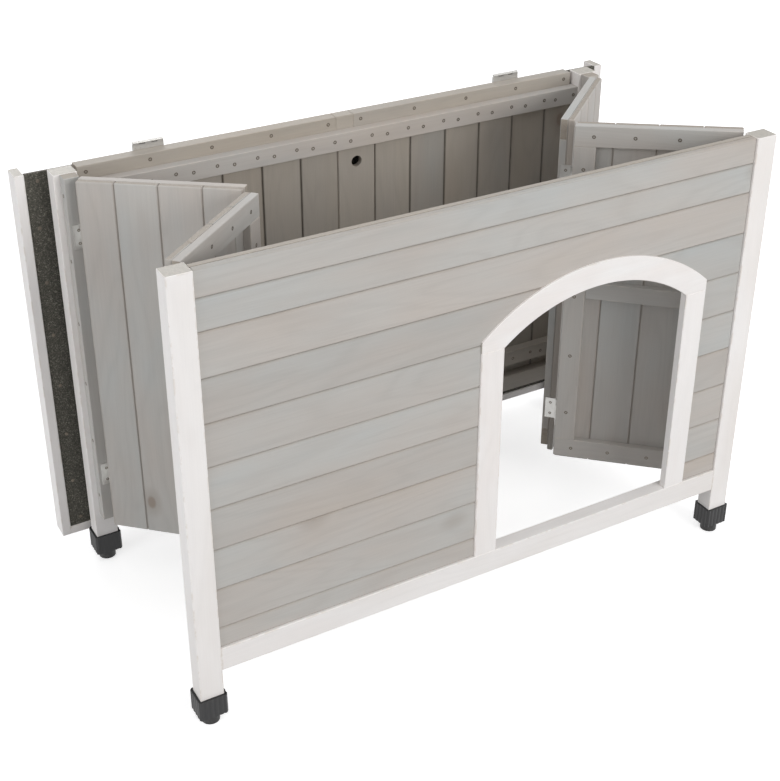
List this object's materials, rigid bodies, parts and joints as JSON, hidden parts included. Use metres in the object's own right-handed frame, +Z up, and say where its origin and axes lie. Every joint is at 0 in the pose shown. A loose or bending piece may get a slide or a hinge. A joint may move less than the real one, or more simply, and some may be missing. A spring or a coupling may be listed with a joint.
{
  "type": "folding dog house",
  "caption": "Wooden dog house with an arched doorway, inward folding side walls on butt hinges and a felted roof panel hinged to hang behind the back wall.",
  "frame": {"origin": "centre of the bounding box's bottom face, on the ground under the feet, in the part-folded rest pose", "axes": "+Z up, +X along the front to the right seen from the front, +Y from the front wall to the back wall"},
  "size_m": [1.082, 0.533, 0.738],
  "materials": {
    "white_painted_wood": "satin white paint on planed softwood",
    "grey_washed_wood": "thin matt grey wash over softwood grain",
    "plain_wood": "matt grey wash over softwood",
    "roofing_felt": "mineral granules in bitumen felt",
    "foot_plastic": "moulded black plastic",
    "zinc_hinge": "zinc plated pressed steel"
  },
  "bodies": {
    "back_wall": {"rear_left_post": "white_painted_wood", "rear_right_post": "white_painted_wood", "rear_left_foot": "foot_plastic", "rear_right_foot": "foot_plastic", "rear_wall_boards": "grey_washed_wood", "rear_vent_board": "grey_washed_wood", "rear_top_batten": "grey_washed_wood", "rear_bottom_batten": "grey_washed_wood", "rear_bottom_rail": "grey_washed_wood", "rear_top_rail_left": "grey_washed_wood", "rear_top_rail_right": "grey_washed_wood", "rear_top_rail_block": "grey_washed_wood", "rear_left_corner_strip": "grey_washed_wood", "rear_right_corner_strip": "grey_washed_wood", "rear_strip_hinge_leaves": "zinc_hinge", "roof_hinge_wall_leaves": "zinc_hinge"},
    "roof_panel": {"roof_deck_boards": "plain_wood", "roof_felt": "roofing_felt", "roof_left_fascia": "white_painted_wood", "roof_right_fascia": "white_painted_wood", "roof_front_fascia": "white_painted_wood", "roof_deck_battens": "plain_wood", "roof_hinge_roof_leaves": "zinc_hinge", "roof_hinge_pins": "zinc_hinge"},
    "front_wall": {"front_left_post": "white_painted_wood", "front_right_post": "white_painted_wood", "front_left_foot": "foot_plastic", "front_right_foot": "foot_plastic", "front_bottom_rail": "white_painted_wood", "front_boards": "grey_washed_wood", "door_left_upright": "white_painted_wood", "door_right_upright": "white_painted_wood", "door_arch": "white_painted_wood", "front_top_batten": "grey_washed_wood", "front_door_battens": "grey_washed_wood", "front_left_batten": "grey_washed_wood", "front_post_hinge_leaves": "zinc_hinge", "front_hinge_pins": "zinc_hinge"},
    "left_rear_side": {"left_rear_boards": "grey_washed_wood", "left_rear_top_rail": "grey_washed_wood", "left_rear_bottom_rail": "grey_washed_wood", "left_rear_stiles": "grey_washed_wood", "left_rear_hinge_leaves": "zinc_hinge", "left_rear_hinge_pins": "zinc_hinge"},
    "left_front_side": {"left_front_boards": "grey_washed_wood", "left_front_top_rail": "grey_washed_wood", "left_front_bottom_rail": "grey_washed_wood", "left_front_stiles": "grey_washed_wood", "left_front_hinge_leaves": "zinc_hinge"},
    "right_rear_side": {"right_rear_boards": "grey_washed_wood", "right_rear_top_rail": "grey_washed_wood", "right_rear_bottom_rail": "grey_washed_wood", "right_rear_stiles": "grey_washed_wood", "right_rear_hinge_leaves": "zinc_hinge", "right_rear_hinge_pins": "zinc_hinge"},
    "right_front_side": {"right_front_boards": "grey_washed_wood", "right_front_top_rail": "grey_washed_wood", "right_front_bottom_rail": "grey_washed_wood", "right_front_stiles": "grey_washed_wood", "right_front_hinge_leaves": "zinc_hinge"}
  },
  "joints": [
    {"name": "side_fold", "type": "hinge", "parent": "back_wall", "child": "left_rear_side", "pos_m": [-0.4608, 0.16515, 0], "axis": [0, 0, -1], "range_deg": [-41, 47]},
    {"name": "left_middle_fold", "type": "hinge", "parent": "left_rear_side", "child": "left_front_side", "pos_m": [-0.28756, -0.0325, 0], "axis": [0, 0, 1], "range_deg": [-82.1, 94.1]},
    {"name": "left_front_fold", "type": "hinge", "parent": "left_front_side", "child": "front_wall", "pos_m": [-0.4608, -0.23015, 0], "axis": [0, 0, -1], "range_deg": [-41.1, 47.1]},
    {"name": "right_rear_fold", "type": "hinge", "parent": "back_wall", "child": "right_rear_side", "pos_m": [0.4608, 0.16515, 0], "axis": [0, 0, 1], "range_deg": [-41.1, 47.1]},
    {"name": "right_middle_fold", "type": "hinge", "parent": "right_rear_side", "child": "right_front_side", "pos_m": [0.28756, -0.0325, 0], "axis": [0, 0, -1], "range_deg": [-82.1, 94.1]},
    {"name": "roof_hinge", "type": "hinge", "parent": "back_wall", "child": "roof_panel", "pos_m": [0, 0.23195, 0.7185], "axis": [1, 0, 0], "range_deg": [0, 255.5]}
  ],
  "couplings": [
    {"joint": "left_middle_fold", "follows": "side_fold", "ratio": 2},
    {"joint": "left_front_fold", "follows": "side_fold", "ratio": 1},
    {"joint": "right_rear_fold", "follows": "side_fold", "ratio": 1},
    {"joint": "right_middle_fold", "follows": "side_fold", "ratio": 2}
  ]
}
